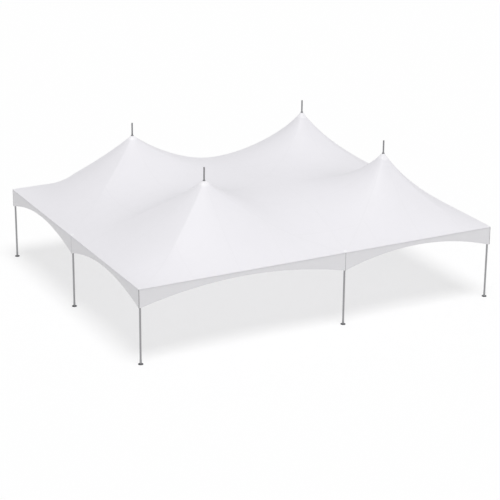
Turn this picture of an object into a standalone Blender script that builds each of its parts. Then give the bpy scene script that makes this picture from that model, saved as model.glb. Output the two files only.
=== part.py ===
# High-peak frame marquee: one membrane over four bays, four masts carried on taut cables, eight legs.
# Metres, +Z up. The origin is on the ground under the middle of the plan, +X runs along the long sides.
import math

import bmesh
import bpy
import numpy as np
from mathutils import Vector

# Plan, from leg axis to leg axis
LONG_BAY = 6.90  # left-hand bay of the front and the back
SHORT_BAY = 5.30  # right-hand bay of the front and the back
SIDE_BAY = 5.10  # both bays of the left and the right side
MAST_SHIFT = 0.05  # share of half a bay by which a mast stands outwards of the bay's middle

# Heights above the ground
EAVE_HEIGHT = 2.40  # top of the membrane at its edge
TIP_HEIGHT = 4.50  # top of the membrane at a mast
MAST_TOP = 4.94
BEAM_HEIGHT = 2.352  # axis of the eave beams
EAR_HEIGHT = 2.27  # axis of the cable ears at the legs
FOOT_HEIGHT = 2.06  # lowest point of a mast

# Membrane
THICKNESS = 0.008
EDGE_OUT = 0.055  # the membrane's edge and the valance stand this far outside the leg axes
SIDE_STEPS = 8  # radial strips on each side of a bay
RING_STEPS = 12  # rings from a tip to the edge of its bay
RING_GRADING = 1.5  # rings are closer together near the tip

# Tension that shapes the membrane. It is one along the tent, far from the tips, and is found on a finer net
NET_FINENESS = 3  # the net has this many times the strips and rings
CROSS_TENSION = 0.74  # tension from front to back
TIP_PULL = (1.17, 0.45)  # what a tip adds, in the left-hand and right-hand bays, over the distance from it
TIP_CORE = 0.064  # distance that keeps the tip's own tension finite
HIP_PULL = (2.16, 1.23)  # tension of the webbing under a hip at its tip, in the left-hand and right-hand bays
HIP_REACH = 2.07  # distance from the tip at which the webbing has passed all its tension on
WEIGHT = 0.115  # weight on the net, against the tension
SETTLED = 1e-7  # the net has settled when its unbalanced force is this share of the first

# Valance
VALANCE_THICKNESS = 0.006
VALANCE_MIDDLE = 0.17  # depth at the middle of a bay, from the top of the eave
VALANCE_LEG = 0.60  # depth at a leg
VALANCE_SLIT = 0.012  # open joint between two panels
VALANCE_STEPS = 24

# Legs and their round foot plates
LEG_RADIUS = 0.030
PLATE_RADIUS = 0.080
PLATE_THICKNESS = 0.012
WELD_RADIUS = 0.037
WELD_HEIGHT = 0.045

# Fittings on top of the legs
HUB_RADIUS = 0.043
HUB_BOTTOM = 2.215
HUB_TOP = 2.3915
STUB_RADIUS = 0.038
STUB_LENGTH = 0.16
EAR_RADIUS = 0.014
EAR_LENGTH = 0.12

# Eave beams, cables and the ring in the middle
BEAM_RADIUS = 0.032
CABLE_RADIUS = 0.005
RING_OUTER = 0.085
RING_INNER = 0.050
RING_HEIGHT = 0.024
BOSS_RADIUS = 0.010
BOSS_LENGTH = 0.060

# Masts
MAST_RADIUS = 0.025
FOOT_RADIUS = 0.036
FOOT_LENGTH = 0.090
FOOT_POINT = 0.014  # height of the blunt point under the foot
FOOT_TAPER = 0.012
HOLE_RADIUS = 0.0275  # hole of the membrane round a mast
TIP_RING_RADIUS = 0.052  # flat ring of the membrane on the crown plate
CROWN_RADIUS = 0.044  # plate of the mast that carries the tip
CROWN_THICKNESS = 0.010
CROWN_TAPER = 0.040
COLLAR_RADIUS = 0.040
COLLAR_HEIGHT = 0.034
CAP_BEVEL = 0.006

ROUND_STEPS = 16  # sides of a tube
SLIM_STEPS = 10  # sides of an ear or a boss
CABLE_STEPS = 8
SMOOTH_ANGLE = math.radians(35)
GAP = 0.0003  # clearance between pieces that touch
CABLE_GAP = 0.0005

LEG_X = (-(LONG_BAY + SHORT_BAY) / 2, (LONG_BAY - SHORT_BAY) / 2, (LONG_BAY + SHORT_BAY) / 2)
LEG_Y = (-SIDE_BAY, 0.0, SIDE_BAY)
EDGE_X = (LEG_X[0] - EDGE_OUT, LEG_X[1], LEG_X[2] + EDGE_OUT)
EDGE_Y = (LEG_Y[0] - EDGE_OUT, LEG_Y[1], LEG_Y[2] + EDGE_OUT)
CROSS_CABLE_HEIGHT = FOOT_HEIGHT - CABLE_GAP - CABLE_RADIUS
DIAGONAL_CABLE_HEIGHT = CROSS_CABLE_HEIGHT - 2 * CABLE_RADIUS - CABLE_GAP

COLUMN_NAMES = ("left", "middle", "right")
ROW_NAMES = ("front", "middle", "back")
LEGS = [(i, j) for j in range(3) for i in range(3) if (i, j) != (1, 1)]  # column and row of each leg
CORNER_LEGS = [(i, j) for i, j in LEGS if i != 1 and j != 1]
BAYS = [(i, j) for j in range(2) for i in range(2)]


def material(name, color, roughness, metallic):
    made = bpy.data.materials.new(name)
    made.use_nodes = True
    shader = made.node_tree.nodes["Principled BSDF"]
    shader.inputs["Base Color"].default_value = (*color, 1.0)
    shader.inputs["Roughness"].default_value = roughness
    shader.inputs["Metallic"].default_value = metallic
    return made


def add_object(name, mesh, finish):
    mesh.materials.clear()
    mesh.materials.append(finish)
    mesh.shade_smooth()
    mesh.set_sharp_from_angle(angle=SMOOTH_ANGLE)
    made = bpy.data.objects.new(name, mesh)
    bpy.context.collection.objects.link(made)


def mesh_from(name, bm):
    bmesh.ops.recalc_face_normals(bm, faces=bm.faces)
    mesh = bpy.data.meshes.new(name)
    bm.to_mesh(mesh)
    bm.free()
    return mesh


def leg_name(i, j):
    """Name of the place of a leg, such as front_left or right_middle."""
    if j == 1:
        return COLUMN_NAMES[i] + "_middle"
    return ROW_NAMES[j] + "_" + COLUMN_NAMES[i]


def bay_name(i, j):
    return ("front", "back")[j] + "_" + ("left", "right")[i]


def leg_point(i, j, height):
    return Vector((LEG_X[i], LEG_Y[j], height))


def mast_point(i, j, height):
    """A mast stands on the diagonal of its bay, a little outwards of the middle."""
    x_side, y_side = (-1, 1)[i], (-1, 1)[j]
    half_x = (LEG_X[i + 1] - LEG_X[i]) / 2
    half_y = (LEG_Y[j + 1] - LEG_Y[j]) / 2
    x = LEG_X[2 * i] - x_side * half_x * (1 - MAST_SHIFT)
    y = LEG_Y[2 * j] - y_side * half_y * (1 - MAST_SHIFT)
    return Vector((x, y, height))


# Round solids
def turned(name, profile, center):
    """Solid turned about an upright axis, from (radius, height) points that run from the bottom to the top."""
    bm = bmesh.new()
    rings = []
    for radius, height in profile:
        if radius == 0.0:
            rings.append([bm.verts.new((center[0], center[1], height))])
            continue
        ring = []
        for step in range(ROUND_STEPS):
            angle = 2 * math.pi * step / ROUND_STEPS
            x = center[0] + radius * math.cos(angle)
            y = center[1] + radius * math.sin(angle)
            ring.append(bm.verts.new((x, y, height)))
        rings.append(ring)
    for lower, upper in zip(rings, rings[1:]):
        for step in range(ROUND_STEPS):
            after = (step + 1) % ROUND_STEPS
            if len(lower) == 1:
                bm.faces.new((lower[0], upper[after], upper[step]))
            elif len(upper) == 1:
                bm.faces.new((lower[step], lower[after], upper[0]))
            else:
                bm.faces.new((lower[step], lower[after], upper[after], upper[step]))
    if len(rings[0]) > 1:
        bm.faces.new(list(reversed(rings[0])))
    if len(rings[-1]) > 1:
        bm.faces.new(rings[-1])
    return mesh_from(name, bm)


def rod(name, points, radius, steps):
    """Round rod through points, mitred where it bends, with flat ends."""
    bm = bmesh.new()
    rings = []
    first = (points[1] - points[0]).normalized()
    side = first.cross(Vector((0, 0, 1)))
    side = side.normalized() if side.length > 0.001 else Vector((1, 0, 0))
    for index, point in enumerate(points):
        before = (points[index] - points[index - 1]).normalized() if index > 0 else None
        after = (points[index + 1] - points[index]).normalized() if index + 1 < len(points) else None
        along = ((before or after) + (after or before)).normalized()
        across = (side - along * side.dot(along)).normalized()
        up = along.cross(across)
        ring = []
        for step in range(steps):
            angle = 2 * math.pi * step / steps
            ring.append(bm.verts.new(point + radius * (math.cos(angle) * across + math.sin(angle) * up)))
        rings.append(ring)
    for one, two in zip(rings, rings[1:]):
        for step in range(steps):
            after = (step + 1) % steps
            bm.faces.new((one[step], one[after], two[after], two[step]))
    bm.faces.new(list(reversed(rings[0])))
    bm.faces.new(rings[-1])
    return mesh_from(name, bm)


def union(name, meshes):
    """One closed solid from closed solids that run into each other."""
    base = bpy.data.objects.new(name, meshes[0])
    bpy.context.collection.objects.link(base)
    others = []
    for mesh in meshes[1:]:
        other = bpy.data.objects.new(name + "_part", mesh)
        bpy.context.collection.objects.link(other)
        others.append(other)
        joint = base.modifiers.new("union", "BOOLEAN")
        joint.operation = "UNION"
        joint.solver = "EXACT"
        joint.object = other
    graph = bpy.context.evaluated_depsgraph_get()
    whole = bpy.data.meshes.new_from_object(base.evaluated_get(graph))
    for extra in [base] + others:
        bpy.data.objects.remove(extra, do_unlink=True)
    whole.name = name
    return whole


# Legs with their welded foot plates
def build_legs(finish):
    for i, j in LEGS:
        profile = [
            (PLATE_RADIUS, 0.0),
            (PLATE_RADIUS, PLATE_THICKNESS),
            (WELD_RADIUS, PLATE_THICKNESS),
            (WELD_RADIUS, WELD_HEIGHT),
            (LEG_RADIUS, WELD_HEIGHT),
            (LEG_RADIUS, HUB_BOTTOM - GAP),
        ]
        name = "leg_" + leg_name(i, j)
        add_object(name, turned(name, profile, leg_point(i, j, 0)), finish)


# Fittings on the legs: a hub, a stub for each beam and an ear for each cable
def beam_directions(i, j):
    """The eave beams run to the next leg along the edge, so never through the middle of the tent."""
    ways = ((1, 0), (-1, 0), (0, 1), (0, -1))
    return [Vector((di, dj, 0)) for di, dj in ways if (i + di, j + dj) in LEGS]


def bays_at(i, j):
    return [(bi, bj) for bi, bj in BAYS if bi <= i <= bi + 1 and bj <= j <= bj + 1]


def cable_height(i, j):
    return DIAGONAL_CABLE_HEIGHT if (i, j) in CORNER_LEGS else CROSS_CABLE_HEIGHT


def build_fittings(finish):
    for i, j in LEGS:
        name = ("corner" if (i, j) in CORNER_LEGS else "tee") + "_fitting_" + leg_name(i, j)
        hub = turned("hub", [(HUB_RADIUS, HUB_BOTTOM), (HUB_RADIUS, HUB_TOP)], leg_point(i, j, 0))
        pieces = [hub]
        center = leg_point(i, j, BEAM_HEIGHT)
        for direction in beam_directions(i, j):
            end = center + direction * STUB_LENGTH
            pieces.append(rod("stub", [center, end], STUB_RADIUS, ROUND_STEPS))
        for bay in bays_at(i, j):
            start = leg_point(i, j, EAR_HEIGHT)
            towards = (mast_point(*bay, cable_height(i, j)) - start).normalized()
            pieces.append(rod("ear", [start, start + towards * EAR_LENGTH], EAR_RADIUS, SLIM_STEPS))
        add_object(name, union(name, pieces), finish)


# Eave beams between the fittings
def build_beams(finish):
    inset = STUB_LENGTH + GAP
    for j, side in ((0, "front"), (2, "back")):
        for i in range(2):
            start = leg_point(i, j, BEAM_HEIGHT) + Vector((inset, 0, 0))
            end = leg_point(i + 1, j, BEAM_HEIGHT) - Vector((inset, 0, 0))
            name = "eave_beam_" + side + "_" + ("left", "right")[i]
            add_object(name, rod(name, [start, end], BEAM_RADIUS, ROUND_STEPS), finish)
    for i, side in ((0, "left"), (2, "right")):
        for j in range(2):
            start = leg_point(i, j, BEAM_HEIGHT) + Vector((0, inset, 0))
            end = leg_point(i, j + 1, BEAM_HEIGHT) - Vector((0, inset, 0))
            name = "eave_beam_" + side + "_" + ("front", "back")[j]
            add_object(name, rod(name, [start, end], BEAM_RADIUS, ROUND_STEPS), finish)


# Masts, each with its pointed foot, the crown plate under the membrane and the collar over it
def build_masts(finish):
    crown_top = TIP_HEIGHT - THICKNESS - GAP
    collar_bottom = TIP_HEIGHT + GAP
    for i, j in BAYS:
        profile = [
            (0.0, FOOT_HEIGHT),
            (FOOT_RADIUS, FOOT_HEIGHT + FOOT_POINT),
            (FOOT_RADIUS, FOOT_HEIGHT + FOOT_LENGTH),
            (MAST_RADIUS, FOOT_HEIGHT + FOOT_LENGTH + FOOT_TAPER),
            (MAST_RADIUS, crown_top - CROWN_THICKNESS - CROWN_TAPER),
            (CROWN_RADIUS, crown_top - CROWN_THICKNESS),
            (CROWN_RADIUS, crown_top),
            (MAST_RADIUS, crown_top),
            (MAST_RADIUS, collar_bottom),
            (COLLAR_RADIUS, collar_bottom),
            (COLLAR_RADIUS, collar_bottom + COLLAR_HEIGHT),
            (MAST_RADIUS, collar_bottom + COLLAR_HEIGHT + CAP_BEVEL),
            (MAST_RADIUS, MAST_TOP - CAP_BEVEL),
            (MAST_RADIUS - CAP_BEVEL, MAST_TOP),
        ]
        name = "mast_" + bay_name(i, j)
        add_object(name, turned(name, profile, mast_point(i, j, 0)), finish)


# Taut cables: one across each bay between the middle legs, one from each corner to the ring in the middle
def build_cables(finish):
    for i, j in BAYS:
        foot = mast_point(i, j, CROSS_CABLE_HEIGHT)
        ends = []
        for leg in ((1, 2 * j), (2 * i, 1)):
            start = leg_point(*leg, EAR_HEIGHT)
            ends.append(start + (foot - start).normalized() * (EAR_LENGTH + GAP))
        name = "cross_cable_" + bay_name(i, j)
        add_object(name, rod(name, [ends[0], foot, ends[1]], CABLE_RADIUS, CABLE_STEPS), finish)

        foot = mast_point(i, j, DIAGONAL_CABLE_HEIGHT)
        start = leg_point(2 * i, 2 * j, EAR_HEIGHT)
        outer = start + (foot - start).normalized() * (EAR_LENGTH + GAP)
        middle = Vector((LEG_X[1], LEG_Y[1], DIAGONAL_CABLE_HEIGHT))
        inner = middle + (foot - middle).normalized() * (RING_OUTER + BOSS_LENGTH + GAP)
        name = "diagonal_cable_" + bay_name(i, j)
        add_object(name, rod(name, [outer, foot, inner], CABLE_RADIUS, CABLE_STEPS), finish)


def build_centre_ring(finish):
    """Flat ring that the four diagonal cables pull on, with a boss for each."""
    middle = Vector((LEG_X[1], LEG_Y[1], DIAGONAL_CABLE_HEIGHT))
    bm = bmesh.new()
    corners = (
        (RING_INNER, -RING_HEIGHT / 2),
        (RING_OUTER, -RING_HEIGHT / 2),
        (RING_OUTER, RING_HEIGHT / 2),
        (RING_INNER, RING_HEIGHT / 2),
    )
    steps = 2 * ROUND_STEPS
    loops = []
    for step in range(steps):
        angle = 2 * math.pi * step / steps
        outward = Vector((math.cos(angle), math.sin(angle), 0))
        loops.append([bm.verts.new(middle + outward * r + Vector((0, 0, z))) for r, z in corners])
    for step in range(steps):
        one, two = loops[step], loops[(step + 1) % steps]
        for corner in range(4):
            after = (corner + 1) % 4
            bm.faces.new((one[corner], one[after], two[after], two[corner]))
    pieces = [mesh_from("ring", bm)]
    for bay in BAYS:
        towards = (mast_point(*bay, DIAGONAL_CABLE_HEIGHT) - middle).normalized()
        start = middle + towards * (RING_INNER + RING_OUTER) / 2
        end = middle + towards * (RING_OUTER + BOSS_LENGTH)
        pieces.append(rod("boss", [start, end], BOSS_RADIUS, SLIM_STEPS))
    add_object("centre_ring", union("centre_ring", pieces), finish)


# Membrane
def bay_outline(i, j):
    """Points of the fine net round the edge of a bay, from its front left corner."""
    x = (EDGE_X[i], EDGE_X[i + 1])
    y = (EDGE_Y[j], EDGE_Y[j + 1])
    corners = ((x[0], y[0]), (x[1], y[0]), (x[1], y[1]), (x[0], y[1]))
    steps = SIDE_STEPS * NET_FINENESS
    points = []
    for start, end in zip(corners, corners[1:] + corners[:1]):
        for step in range(steps):
            px = start[0] + (end[0] - start[0]) * step / steps
            py = start[1] + (end[1] - start[1]) * step / steps
            points.append((px, py))
    return points


def net_plan():
    """Plan of the fine net: its points, and for each bay the columns of point numbers from the tip outwards."""
    index, plan, nets = {}, [], []
    rings = RING_STEPS * NET_FINENESS
    for i, j in BAYS:
        tip = mast_point(i, j, 0)
        columns = []
        for px, py in bay_outline(i, j):
            outward = Vector((px - tip.x, py - tip.y, 0))
            span = outward.length
            outward.normalize()
            column = []
            for step in range(rings + 1):
                radius = TIP_RING_RADIUS + (span - TIP_RING_RADIUS) * (step / rings) ** RING_GRADING
                point = (tip.x + outward.x * radius, tip.y + outward.y * radius)
                key = (round(point[0], 5), round(point[1], 5))
                if key not in index:
                    index[key] = len(plan)
                    plan.append(point)
                column.append(index[key])
            columns.append(column)
        nets.append(np.array(columns))
    return np.array(plan), nets


def membrane_links(plan, nets):
    """Links between net points with the stiffness that the tension gives them, and the load on each point."""
    triangles = []
    for net in nets:
        ring = np.concatenate((net, net[:1]))
        a, b, c, d = ring[:-1, :-1], ring[1:, :-1], ring[1:, 1:], ring[:-1, 1:]
        for three in ((a, b, c), (a, c, d), (a, b, d), (b, c, d)):  # each quad is cut both ways, at half strength
            triangles.append(np.stack([corner.ravel() for corner in three], axis=1))
    triangles = np.concatenate(triangles)
    x, y = plan[triangles, 0], plan[triangles, 1]
    rise_x = np.stack((y[:, 1] - y[:, 2], y[:, 2] - y[:, 0], y[:, 0] - y[:, 1]), axis=1)
    rise_y = np.stack((x[:, 2] - x[:, 1], x[:, 0] - x[:, 2], x[:, 1] - x[:, 0]), axis=1)
    double_area = np.abs(rise_x[:, 0] * rise_y[:, 1] - rise_y[:, 0] * rise_x[:, 1])
    tension = np.ones(len(triangles))
    for i, j in BAYS:
        tip = mast_point(i, j, 0)
        distance = np.hypot(x.mean(axis=1) - tip.x, y.mean(axis=1) - tip.y)
        tension += TIP_PULL[i] / (distance + TIP_CORE)
    along = rise_x[:, :, None] * rise_x[:, None, :]
    across = rise_y[:, :, None] * rise_y[:, None, :]
    stiffness = (along + CROSS_TENSION * across) * (tension / double_area / 4)[:, None, None]
    starts = np.repeat(triangles, 3, axis=1).ravel()
    ends = np.tile(triangles, (1, 3)).ravel()
    load = np.bincount(triangles.ravel(), np.repeat(double_area, 3) * -WEIGHT / 12, len(plan))
    return [starts], [ends], [stiffness.ravel()], load


def hip_links(plan, nets, starts, ends, stiffness):
    """Adds the webbing from each tip to the corners of its bay."""
    side = SIDE_STEPS * NET_FINENESS
    for (i, _), net in zip(BAYS, nets):
        for column in net[::side]:
            distance = np.hypot(*(plan[column] - plan[column[0]]).T)
            middle = (distance[1:] + distance[:-1]) / 2
            pull = HIP_PULL[i] * np.clip(1 - middle / HIP_REACH, 0, None) / np.diff(distance)
            inner, outer = column[:-1], column[1:]
            starts += [inner, outer, inner, outer]
            ends += [inner, outer, outer, inner]
            stiffness += [pull, pull, -pull, -pull]


def net_heights(plan, nets):
    """Heights at which the net is in balance between the tips and the outer edge, by conjugate gradients."""
    starts, ends, stiffness, load = membrane_links(plan, nets)
    hip_links(plan, nets, starts, ends, stiffness)
    starts, ends, stiffness = np.concatenate(starts), np.concatenate(ends), np.concatenate(stiffness)
    count = len(plan)
    heights = np.full(count, EAVE_HEIGHT)
    for net in nets:
        heights[net[:, 0]] = TIP_HEIGHT
    held = heights == TIP_HEIGHT
    held |= np.isclose(plan[:, :1], (EDGE_X[0], EDGE_X[2])).any(axis=1)
    held |= np.isclose(plan[:, 1:], (EDGE_Y[0], EDGE_Y[2])).any(axis=1)
    own = starts == ends
    diagonal = np.bincount(starts[own], stiffness[own], count)

    def force(moved):
        return np.bincount(starts, stiffness * moved[ends], count)

    unbalanced = np.where(held, 0, load - force(heights))
    scaled = unbalanced / diagonal
    step = scaled.copy()
    size = unbalanced @ scaled
    target = size * SETTLED**2
    while size > target:
        resisting = np.where(held, 0, force(step))
        share = size / (step @ resisting)
        heights += share * step
        unbalanced -= share * resisting
        scaled = unbalanced / diagonal
        size, before = unbalanced @ scaled, size
        step = scaled + size / before * step
    return heights


def membrane_grid():
    """Points of the top face, and its quads as sets of four point numbers."""
    plan, nets = net_plan()
    heights = net_heights(plan, nets)
    index, points, quads = {}, [], []

    def add(x, y, z):
        key = (round(x, 5), round(y, 5))
        if key not in index:
            index[key] = len(points)
            points.append((x, y, z))
        return index[key]

    for (i, j), net in zip(BAYS, nets):
        tip = mast_point(i, j, TIP_HEIGHT)
        columns = []
        for numbers in net[::NET_FINENESS, ::NET_FINENESS]:
            outward = (plan[numbers[0]] - tip.xy) / TIP_RING_RADIUS
            column = [add(tip.x + outward[0] * HOLE_RADIUS, tip.y + outward[1] * HOLE_RADIUS, TIP_HEIGHT)]
            column += [add(*plan[number], heights[number]) for number in numbers]
            columns.append(column)
        for one, two in zip(columns, columns[1:] + columns[:1]):
            for step in range(RING_STEPS + 1):
                quads.append((one[step], one[step + 1], two[step + 1], two[step]))
    return points, quads


def build_canopy(finish):
    points, quads = membrane_grid()
    bm = bmesh.new()
    top = [bm.verts.new(point) for point in points]
    below = [bm.verts.new((x, y, z - THICKNESS)) for x, y, z in points]
    sides = set()
    for quad in quads:
        bm.faces.new([top[number] for number in quad])
        bm.faces.new([below[number] for number in reversed(quad)])
        sides.update(zip(quad, quad[1:] + quad[:1]))
    for one, two in sorted(sides):
        if (two, one) not in sides:
            bm.faces.new((top[two], top[one], below[one], below[two]))
    add_object("canopy", mesh_from("canopy", bm), finish)


# Valance: one panel for each bay side, with an arched lower edge
def valance_depth(share):
    share = min(1.0, max(0.0, share))
    return VALANCE_MIDDLE + (VALANCE_LEG - VALANCE_MIDDLE) * (2 * share - 1) ** 2


def valance_panel(name, start, end, outward, first_corner, last_corner, finish):
    """Upright sheet from one leg axis to the next; past a corner leg it runs out to the membrane's edge."""
    along = (end - start).normalized()
    length = (end - start).length
    low = -EDGE_OUT + VALANCE_SLIT / 2 if first_corner else VALANCE_SLIT / 2
    high = length + EDGE_OUT - VALANCE_SLIT / 2 if last_corner else length - VALANCE_SLIT / 2
    top = EAVE_HEIGHT - THICKNESS - GAP
    bm = bmesh.new()
    rows = []
    for step in range(VALANCE_STEPS + 1):
        distance = low + (high - low) * step / VALANCE_STEPS
        bottom = EAVE_HEIGHT - valance_depth(distance / length)
        row = []
        for out in (EDGE_OUT, EDGE_OUT - VALANCE_THICKNESS):
            for height in (bottom, top):
                point = start + along * distance + outward * out
                row.append(bm.verts.new((point.x, point.y, height)))
        rows.append(row)
    for one, two in zip(rows, rows[1:]):
        bm.faces.new((one[0], two[0], two[1], one[1]))
        bm.faces.new((one[3], two[3], two[2], one[2]))
        bm.faces.new((one[1], two[1], two[3], one[3]))
        bm.faces.new((one[2], two[2], two[0], one[0]))
    bm.faces.new((rows[0][0], rows[0][1], rows[0][3], rows[0][2]))
    bm.faces.new((rows[-1][2], rows[-1][3], rows[-1][1], rows[-1][0]))
    add_object(name, mesh_from(name, bm), finish)


def build_valances(finish):
    for j, side in ((0, "front"), (2, "back")):
        outward = Vector((0, (-1, 0, 1)[j], 0))
        for i in range(2):
            name = "valance_" + side + "_" + ("left", "right")[i]
            valance_panel(name, leg_point(i, j, 0), leg_point(i + 1, j, 0), outward, i == 0, i == 1, finish)
    for i, side in ((0, "left"), (2, "right")):
        outward = Vector(((-1, 0, 1)[i], 0, 0))
        for j in range(2):
            name = "valance_" + side + "_" + ("front", "back")[j]
            valance_panel(name, leg_point(i, j, 0), leg_point(i, j + 1, 0), outward, j == 0, j == 1, finish)


def build():
    for old in list(bpy.data.objects):
        bpy.data.objects.remove(old, do_unlink=True)
    aluminium = material("frame_aluminium", (0.42, 0.42, 0.43), 0.38, 1.0)
    steel = material("fitting_steel", (0.36, 0.36, 0.37), 0.45, 1.0)
    mast = material("mast_steel", (0.34, 0.34, 0.35), 0.42, 1.0)
    cable = material("stay_cable", (0.45, 0.45, 0.46), 0.40, 1.0)
    canopy = material("canopy_membrane", (0.86, 0.86, 0.88), 0.55, 0.0)
    valance = material("valance_membrane", (0.80, 0.80, 0.82), 0.55, 0.0)
    build_legs(aluminium)
    build_fittings(steel)
    build_beams(aluminium)
    build_masts(mast)
    build_cables(cable)
    build_centre_ring(steel)
    build_canopy(canopy)
    build_valances(valance)


build()
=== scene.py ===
import math
from contextlib import contextmanager

import bpy
import numpy as np
from mathutils import Matrix, Quaternion, Vector, noise
from mathutils.bvhtree import BVHTree


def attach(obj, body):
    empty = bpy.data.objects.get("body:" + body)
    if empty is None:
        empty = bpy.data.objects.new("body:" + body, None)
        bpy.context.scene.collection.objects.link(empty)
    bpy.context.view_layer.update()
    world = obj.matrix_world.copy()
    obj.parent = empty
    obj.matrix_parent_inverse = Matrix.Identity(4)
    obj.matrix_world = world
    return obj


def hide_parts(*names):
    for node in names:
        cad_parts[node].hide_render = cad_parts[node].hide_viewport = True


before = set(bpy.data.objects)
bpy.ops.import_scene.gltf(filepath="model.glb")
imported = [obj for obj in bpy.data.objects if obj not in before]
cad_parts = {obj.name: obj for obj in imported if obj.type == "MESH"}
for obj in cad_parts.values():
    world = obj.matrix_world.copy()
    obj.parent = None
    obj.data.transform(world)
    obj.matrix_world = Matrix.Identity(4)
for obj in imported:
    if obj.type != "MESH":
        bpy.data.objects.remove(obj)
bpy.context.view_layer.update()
print("frame loaded:", len(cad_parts), "nodes")

# the tent's plan and heights, in metres, as in the frame
tent = {
    "legX": (-6.10, 0.80, 6.10),
    "legY": (-5.10, 0.0, 5.10),
    "mastShift": 0.05,  # of half a bay, outwards of its middle
    "edgeOut": 0.055,
    "eave": 2.40,
    "tip": 4.50,
    "beamHeight": 2.352,
    "earHeight": 2.27,
    "crossCable": 2.0545,
    "diagonalCable": 2.044,
}
columnNames = ("left", "middle", "right")
rowNames = ("front", "middle", "back")
legs = [(i, j) for j in range(3) for i in range(3) if (i, j) != (1, 1)]
bays = [(i, j) for j in range(2) for i in range(2)]

# the eave's spans: name, the leg at each end, and the way out
spans = []
for side in (0, 2):
    for half in (0, 1):
        name = rowNames[side] + "_" + columnNames[2 * half]
        spans.append((name, (half, side), (half + 1, side), Vector((0, side - 1, 0))))
for side in (0, 2):
    for half in (0, 1):
        name = columnNames[side] + "_" + rowNames[2 * half]
        spans.append((name, (side, half), (side, half + 1), Vector((side - 1, 0, 0))))

out = tent["edgeOut"]
edgeX, edgeY = [(low - out, middle, high + out) for low, middle, high in (tent["legX"], tent["legY"])]


def legName(i, j):
    return columnNames[i] + "_middle" if j == 1 else rowNames[j] + "_" + columnNames[i]


def bayName(i, j):
    return rowNames[2 * j] + "_" + columnNames[2 * i]


def isCorner(i, j):
    return i != 1 and j != 1


def legPoint(i, j, height=0.0):
    return Vector((tent["legX"][i], tent["legY"][j], height))


def mastPoint(i, j, height=0.0):
    place = []
    for lines, side in ((tent["legX"], i), (tent["legY"], j)):
        half = (lines[side + 1] - lines[side]) / 2
        place.append(lines[2 * side] + (1 - 2 * side) * half * (1 - tent["mastShift"]))
    return Vector((*place, height))


def bayCorners(i, j):
    return [(x, y) for x in edgeX[i:i + 2] for y in edgeY[j:j + 2]]


def aroundZ(angle, radius=1.0, height=0.0):
    return Vector((radius * math.cos(angle), radius * math.sin(angle), height))


def evenly(low, high, steps):
    return [low + (high - low) * step / steps for step in range(steps + 1)]


# materials: shader maths as expressions
def operators(name):
    # a maths node as the plain operator, and as the one where the reading is the second value
    def plain(self, other):
        return self.finish.maths(name, self, other)

    def reflected(self, other):
        return self.finish.maths(name, other, self)

    return plain, reflected


class Reading:
    __add__, __radd__ = operators("ADD")
    __sub__, __rsub__ = operators("SUBTRACT")
    __mul__, __rmul__ = operators("MULTIPLY")

    def __init__(self, finish, socket):
        self.finish = finish
        self.socket = socket


class Finish:
    def __init__(self, name, color, roughness, metallic=0.0):
        self.material = bpy.data.materials.new(name)
        self.material.use_nodes = True
        self.color = (*color, 1.0)
        self.material.diffuse_color = self.color
        self.tree = self.material.node_tree
        self.shader = self.tree.nodes["Principled BSDF"]
        self.set("Base Color", self.color)
        self.set("Roughness", roughness)
        self.set("Metallic", metallic)

    def set(self, socketName, value):
        self.feed(self.shader.inputs[socketName], value)

    def feed(self, socket, value):
        if isinstance(value, Reading):
            self.tree.links.new(value.socket, socket)
        else:
            socket.default_value = value

    def node(self, kind, inputs=None, output=0, **settings):
        made = self.tree.nodes.new(kind)
        for key, value in settings.items():
            setattr(made, key, value)
        for key, value in (inputs or {}).items():
            self.feed(made.inputs[key], value)
        return Reading(self, made.outputs[output])

    def maths(self, operation, *values):
        return self.node("ShaderNodeMath", dict(enumerate(values)), operation=operation)

    def point(self, scale=(1.0, 1.0, 1.0)):
        place = self.node("ShaderNodeTexCoord", output="Object")
        return self.node("ShaderNodeMapping", {"Vector": place, "Scale": scale})

    def cutPoint(self, scale=(1.0, 1.0, 1.0)):
        place = self.node("ShaderNodeUVMap", uv_map="cut")
        return self.node("ShaderNodeMapping", {"Vector": place, "Scale": scale})

    def value(self, name):
        return self.node("ShaderNodeAttribute", output="Fac", attribute_name=name)

    def part(self, vector, axis):
        return self.node("ShaderNodeSeparateXYZ", {0: vector}, axis)

    def noise(self, point, scale, detail, roughness):
        inputs = {"Vector": point, "Scale": scale, "Detail": detail, "Roughness": roughness}
        return self.node("ShaderNodeTexNoise", inputs, "Fac")

    def wave(self, point, way):
        return self.node("ShaderNodeTexWave", {"Vector": point, "Scale": 0.5}, "Fac", bands_direction=way)

    def fade(self, value, start, end, first=1.0, last=0.0):
        inputs = {"Value": value, "From Min": start, "From Max": end, "To Min": first, "To Max": last}
        return self.node("ShaderNodeMapRange", inputs, interpolation_type="SMOOTHSTEP", clamp=True)

    def toned(self, tone):
        # the base colour, made lighter and darker
        gray = self.node("ShaderNodeCombineColor", {0: tone, 1: tone, 2: tone})
        inputs = {0: 1.0, 6: self.color, 7: gray}
        base = self.node("ShaderNodeMix", inputs, 2, data_type="RGBA", blend_type="MULTIPLY")
        self.set("Base Color", base)
        return base

    def relief(self, *layers):
        # bumps laid one over the other, each with its height, depth in metres and strength
        inputs = {}
        for height, distance, strength in layers:
            inputs.update({"Height": height, "Distance": distance, "Strength": strength})
            inputs["Normal"] = self.node("ShaderNodeBump", inputs)
        self.set("Normal", inputs["Normal"])


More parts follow.
